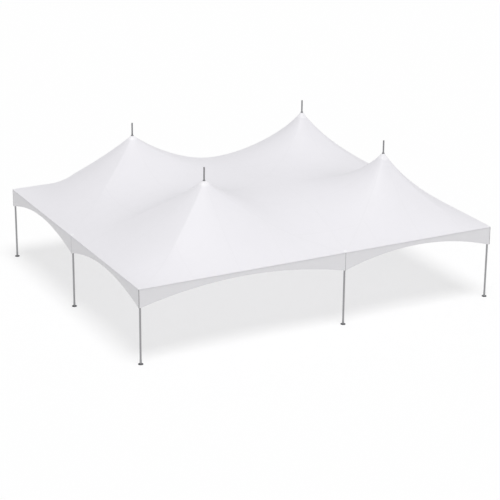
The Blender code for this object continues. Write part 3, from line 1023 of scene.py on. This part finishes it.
# legs; a turned piece is given by its profile, the radius and height of each step
legSizes = {
    "plate": ((0.0785, 0.0), (0.080, 0.0015), (0.080, 0.010), (0.078, 0.012)),
    "drill": (0.0075, 0.05),  # radius and length
    "holeCircle": 0.058,
    "tube": (
        (0.037, 0.012), (0.0362, 0.015), (0.0348, 0.0172), (0.0335, 0.0182),  # weld
        (0.0335, 0.1485), (0.0323, 0.150), (0.030, 0.150),  # doubler tube pressed over the foot
        (0.030, 1.1288), (0.0288, 1.1296), (0.0288, 1.1304), (0.030, 1.1312),  # joint of the two parts
        (0.030, 2.2147),
    ),
    "button": ((0.008, -0.002), (0.008, 0.0012), (0.0062, 0.0016), (0.006, 0.0042), (0.0042, 0.006)),
    "buttons": ((-60, 0.030, 1.080), (-60, 0.030, 1.180), (30, 0.0335, 0.075)),  # turn, radius, height
}


def makeLegs():
    size = legSizes
    plate = turnedUp(size["plate"], sides=64)
    for corner in range(4):
        place = aroundZ(math.radians(45 + 90 * corner), size["holeCircle"])
        drilled(plate, cylinder(20, *size["drill"], place))
    painted(plate, "plate_zinc")
    button = painted(turnedUp(size["button"], sides=20), "bolt_steel")
    parts = [painted(turnedUp(size["tube"]), "leg_aluminium")]
    for turn, radius, height in size["buttons"]:
        angle = math.radians(turn)
        parts.append(placedCopy(button, aroundZ(angle, radius, height), upTo(aroundZ(angle))))
    tube = joined(parts)
    for leg in legs:
        name = legName(*leg)
        riding(placedCopy(plate, legPoint(*leg)), "foot_plate_" + name, "fitting_steel", "leg_" + name)
        riding(placedCopy(tube, legPoint(*leg)), "leg_tube_" + name, "frame_aluminium", "leg_" + name)
    removed(plate, tube, button)


makeLegs()
print("legs made")

fittingSizes = {
    "hub": (
        (0.0405, 2.215), (0.043, 2.2175), (0.043, 2.231), (0.0408, 2.2335),
        (0.0408, 2.3715), (0.043, 2.374), (0.043, 2.388), (0.039, 2.391), (0.012, 2.3915),
    ),
    "stub": (
        (0.035, 0.010), (0.037, 0.039), (0.038, 0.047), (0.038, 0.154),
        (0.0365, 0.159), (0.035, 0.160), (0.0324, 0.160),
    ),
    "bolt": (0.0085, 0.0045),
    "boltRows": (0.082, 0.128),
    "boltFace": 0.0376,
    "ear": (0.008, 0.030, 0.060),
    "earMiddle": 0.066,
    "earNose": 0.010,
    "noseWidth": 0.55,
    "earRound": 0.0025,
}
boltSizes = {
    "washer": ((1.25, 0.0), (1.25, 0.0014), (1.18, 0.0018)),  # radii against the head's
    "headDepth": 0.0055,
    "headRound": 0.0007,
    "thread": ((1.0, 0.007), (1.0, 0.011), (0.8, 0.0122)),  # radii against the thread's
}


def makeBolt(headRadius, threadRadius):
    # hexagon head with a washer, drawn up the Z axis from the washer's face
    size = boltSizes
    washer = turnedUp([(headRadius * share, height) for share, height in size["washer"]], sides=24)
    middle = size["washer"][-1][1] + size["headDepth"] / 2
    head = softened(cylinder(6, headRadius, size["headDepth"], (0, 0, middle)), size["headRound"])
    end = turnedUp([(threadRadius * share, height) for share, height in size["thread"]], sides=16)
    return painted(joined([washer, head, end]), "bolt_steel")


def makeFittings():
    size = fittingSizes
    hub = painted(turnedUp(size["hub"]), "fitting_zinc")
    stub = painted(turnedUp(size["stub"]), "fitting_zinc")
    bolt = makeBolt(*size["bolt"])
    ear = block(size["ear"], (0, 0, size["earMiddle"]))
    grownOut(ear, lambda face: face.normal.z > 0.9, (0, 0, size["earNose"]), (1, size["noseWidth"], 1))
    painted(softened(ear, size["earRound"], 3), "fitting_zinc")
    for i, j in legs:
        parts = [placedCopy(hub, legPoint(i, j))]
        middle = legPoint(i, j, tent["beamHeight"])
        for di, dj in ((1, 0), (-1, 0), (0, 1), (0, -1)):
            if (i + di, j + dj) in legs:
                outward = Vector((di, dj, 0))
                parts.append(placedCopy(stub, middle, upTo(outward)))
                side = outward.cross(Vector((0, 0, 1)))
                for way in (side, -side):
                    for along in size["boltRows"]:
                        place = middle + outward * along + way * size["boltFace"]
                        parts.append(placedCopy(bolt, place, upTo(way)))
        start = legPoint(i, j, tent["earHeight"])
        for bi, bj in bays:
            if bi <= i <= bi + 1 and bj <= j <= bj + 1:
                foot = mastPoint(bi, bj, tent["diagonalCable" if isCorner(i, j) else "crossCable"])
                parts.append(placedCopy(ear, start, upTo(foot - start)))
        name = ("corner" if isCorner(i, j) else "tee") + "_fitting_" + legName(i, j)
        riding(joined(parts), name + "_cast", "fitting_steel", name)
    removed(hub, stub, bolt, ear)


makeFittings()
print("fittings made")

beamSizes = {
    "inset": 0.1603,
    "swage": ((0.0308, 0.0), (0.0308, 0.012), (0.032, 0.016)),
    # half of the coupling sleeve, up to the middle of the beam
    "sleeve": ((0.032, -0.090), (0.0338, -0.0895), (0.0338, -0.001), (0.0326, -0.0003)),
}


def makeBeams():
    size = beamSizes
    for name, first, last, outward in spans:
        start, end = legPoint(*first, tent["beamHeight"]), legPoint(*last, tent["beamHeight"])
        along, length = (end - start).normalized(), (end - start).length - 2 * size["inset"]
        sleeve = [(radius, length / 2 + height) for radius, height in size["sleeve"]]
        beam = turnedUp(mirrored([*size["swage"], *sleeve], length))
        painted(beam, "beam_aluminium_long" if outward.x == 0 else "beam_aluminium_side")
        aimed(beam, start + along * size["inset"], along)
        riding(beam, "eave_tube_" + name, "frame_aluminium", "eave_beam_" + name)


makeBeams()
print("eave beams made")

mastSizes = {
    "tube": (
        (0.006, 2.060), (0.018, 2.0635), (0.028, 2.0685), (0.033, 2.074), (0.036, 2.078),  # shoe
        (0.036, 2.147), (0.033, 2.150), (0.029, 2.150), (0.028, 2.1545), (0.025, 2.157),
        (0.025, 4.4357), (0.0285, 4.4382), (0.030, 4.4437), (0.038, 4.4777), (0.044, 4.4812),  # crown
        (0.044, 4.4902), (0.0425, 4.4917), (0.025, 4.4917),
        (0.025, 4.930), (0.0256, 4.9302), (0.0256, 4.935), (0.023, 4.938), (0.017, 4.940),  # cap
    ),
    "collar": (
        (0.0385, 4.5003), (0.040, 4.5018), (0.040, 4.5233),
        (0.037, 4.5283), (0.031, 4.5343), (0.0252, 4.5353),
    ),
    "screw": (0.005, 0.0028),
    "screwTurns": (20, 140, 260),
    "screwRadius": 0.039,
    "screwHeight": 4.5128,
}


def makeMasts():
    size = mastSizes
    tube = painted(turnedUp(size["tube"]), "mast_tube")
    screw = makeBolt(*size["screw"])
    parts = [painted(turnedUp(size["collar"]), "collar_zinc")]
    for turn in size["screwTurns"]:
        angle = math.radians(turn)
        place = aroundZ(angle, size["screwRadius"], size["screwHeight"])
        parts.append(placedCopy(screw, place, upTo(aroundZ(angle))))
    collar = joined(parts)
    for bay in bays:
        name = bayName(*bay)
        riding(placedCopy(tube, mastPoint(*bay)), "mast_tube_" + name, "mast_steel", "mast_" + name)
        riding(placedCopy(collar, mastPoint(*bay)), "mast_collar_" + name, "fitting_steel", "mast_" + name)
    removed(tube, collar, screw)


makeMasts()
print("masts made")

cableSizes = {
    "radius": 0.005,
    "strands": 6,
    "strandDepths": (1.0, 0.93, 0.72, 0.93),
    "lay": 0.090,  # length of one turn of the strands
    "turnSteps": 8,
    "merge": 0.00001,
    "earEnd": 0.092,
    "ringReach": 0.145,
    "swaged": 0.218,  # where the strand starts in the turnbuckle
}
turnbuckleSizes = {
    "rod": ((0.0048, 0.0), (0.0048, 0.230)),
    "body": ((0.0065, 0.052), (0.0105, 0.056), (0.0105, 0.070), (0.0083, 0.074)),
    "bodyEnds": 0.220,  # its two ends, added up
    "window": (0.010, 0.05, 0.066),
    "sleeve": ((0.005, 0.176), (0.0078, 0.178), (0.0078, 0.222), (0.0066, 0.228), (0.0054, 0.230)),
    "nut": (0.0088, 0.006),
    "nutHeights": (0.044, 0.170),
    "nutRound": 0.0006,
    "forkRound": 0.0018,
    "cheek": (0.004, 0.022, 0.050),
    "cheekPlace": (0.0075, 0, 0.006),
    "bridge": (0.019, 0.020, 0.008),
    "bridgePlace": (0, 0, 0.030),
    "pin": ((0.0085, -0.015), (0.0085, -0.011), (0.005, -0.0108), (0.005, 0.012), (0.004, 0.0135)),
}


def makeStrand(length):
    # seven-wire strand, its outer wires wound by the Screw modifier, drawn up the Z axis
    size = cableSizes
    cleared()
    bpy.ops.mesh.primitive_circle_add(vertices=size["strands"] * 4, radius=size["radius"], location=(0, 0, 0))
    strand = applied(bpy.context.object)
    for number, vertex in enumerate(strand.data.vertices):
        depth = size["strandDepths"][number % 4]
        vertex.co.x *= depth
        vertex.co.y *= depth
    turns = max(1, round(length / size["lay"]))
    steps = turns * size["turnSteps"]
    wound = {"axis": "Z", "angle": 2 * math.pi * turns, "screw_offset": length, "use_smooth_shade": True}
    modified(strand, "SCREW", steps=steps, render_steps=steps, **wound)
    with editing(strand):
        bpy.ops.mesh.remove_doubles(threshold=size["merge"])
        bpy.ops.mesh.select_all(action="DESELECT")
        bpy.ops.mesh.select_non_manifold()
        bpy.ops.mesh.fill_holes(sides=0)
        facedOut()
    return painted(strand, "strand_zinc")


def makeTurnbuckle():
    # fork, threaded rod, open body, threaded rod and swaged sleeve, drawn up the Z axis
    size = turnbuckleSizes
    rod = turnedUp(size["rod"], sides=20)
    body = turnedUp(mirrored(size["body"], size["bodyEnds"]), sides=24)
    drilled(body, block(size["window"], (0, 0, size["bodyEnds"] / 2)))
    sleeve = turnedUp(size["sleeve"], sides=24)
    pin = aimed(turnedUp(size["pin"], sides=20), (0, 0, 0), (1, 0, 0))
    parts = [rod, body, sleeve, pin]
    for height in size["nutHeights"]:
        parts.append(softened(cylinder(6, *size["nut"], (0, 0, height)), size["nutRound"]))
    x, y, z = size["cheekPlace"]
    for shape, place in (("cheek", (-x, y, z)), ("cheek", (x, y, z)), ("bridge", size["bridgePlace"])):
        parts.append(softened(block(size[shape], place), size["forkRound"], 3))
    return painted(joined(parts), "fitting_zinc")


def makeCables():
    size = cableSizes
    turnbuckle = makeTurnbuckle()
    for i, j in bays:
        name = bayName(i, j)
        routes = (
            ("cross", tent["crossCable"], ((1, 2 * j), (2 * i, 1))),
            ("diagonal", tent["diagonalCable"], ((2 * i, 2 * j), (1, 1))),
        )
        for kind, height, ends in routes:
            foot = mastPoint(i, j, height)
            halves, buckles = [], []
            for end in ends:
                inMiddle = end == (1, 1)
                anchor = legPoint(*end, height if inMiddle else tent["earHeight"])
                away = (foot - anchor).normalized()
                start = anchor + away * (size["ringReach"] if inMiddle else size["earEnd"])
                if not inMiddle:
                    buckles.append(placedCopy(turnbuckle, start, upTo(away)))
                    start = start + away * size["swaged"]
                halves.append(aimed(makeStrand((foot - start).length), start, away))
            riding(joined(halves), kind + "_strand_" + name, "stay_cable", kind + "_cable_" + name, angle=60)
            riding(joined(buckles), kind + "_turnbuckle_" + name, "fitting_steel")
    removed(turnbuckle)


makeCables()
print("cables made")

saddleSizes = {
    "lower": ((0.041, 2.0265), (0.044, 2.0295), (0.044, 2.0372), (0.0425, 2.0387)),
    "upper": ((0.0428, 2.0605), (0.044, 2.0617), (0.044, 2.065), (0.0425, 2.0665)),
    "shank": ((0.003, 2.0377), (0.003, 2.0675), (0.0021, 2.0683)),
    "drill": (0.0265, 0.05),
    "bolt": (0.0055, 0.003),
    "boltCircle": 0.0365,
}


def makeSaddles():
    # clamp that holds both cables of a bay together under the mast's foot
    size = saddleSizes
    bottom, top = size["lower"][0][1], size["upper"][0][1]
    lower = turnedUp(size["lower"], sides=48)
    upper = drilled(turnedUp(size["upper"], sides=48), cylinder(48, *size["drill"], (0, 0, top)))
    parts = [painted(lower, "fitting_zinc"), painted(upper, "fitting_zinc")]
    bolt = makeBolt(*size["bolt"])
    shank = painted(turnedUp(size["shank"], sides=16), "bolt_steel")
    for quarter in range(4):
        angle = math.pi / 2 * quarter
        parts.append(placedCopy(bolt, aroundZ(angle, size["boltCircle"], bottom), upTo((0, 0, -1))))
        parts.append(placedCopy(shank, aroundZ(angle, size["boltCircle"])))
    saddle = joined(parts)
    for bay in bays:
        riding(placedCopy(saddle, mastPoint(*bay)), "cable_saddle_" + bayName(*bay), "fitting_steel")
    removed(saddle, bolt, shank)


makeSaddles()
print("saddles made")

ringSizes = {
    "disc": ((0.081, -0.012), (0.085, -0.008), (0.085, 0.008), (0.081, 0.012)),
    "drill": (0.050, 0.1),
    "round": 0.0012,
    "boss": ((0.010, 0.077), (0.010, 0.130), (0.0085, 0.133), (0.0085, 0.1435), (0.007, 0.145)),
}


def makeCentreRing():
    size = ringSizes
    disc = drilled(turnedUp(size["disc"], sides=64), cylinder(64, *size["drill"]))
    parts = [softened(disc, size["round"])]
    for bay in bays:
        boss = turnedUp(size["boss"], sides=24)
        parts.append(aimed(boss, (0, 0, 0), mastPoint(*bay) - legPoint(1, 1)))
    ring = painted(joined(parts), "fitting_zinc")
    ring.data.transform(Matrix.Translation(legPoint(1, 1, tent["diagonalCable"])))
    riding(ring, "centre_ring_cast", "fitting_steel", "centre_ring")


makeCentreRing()
print("centre ring made")
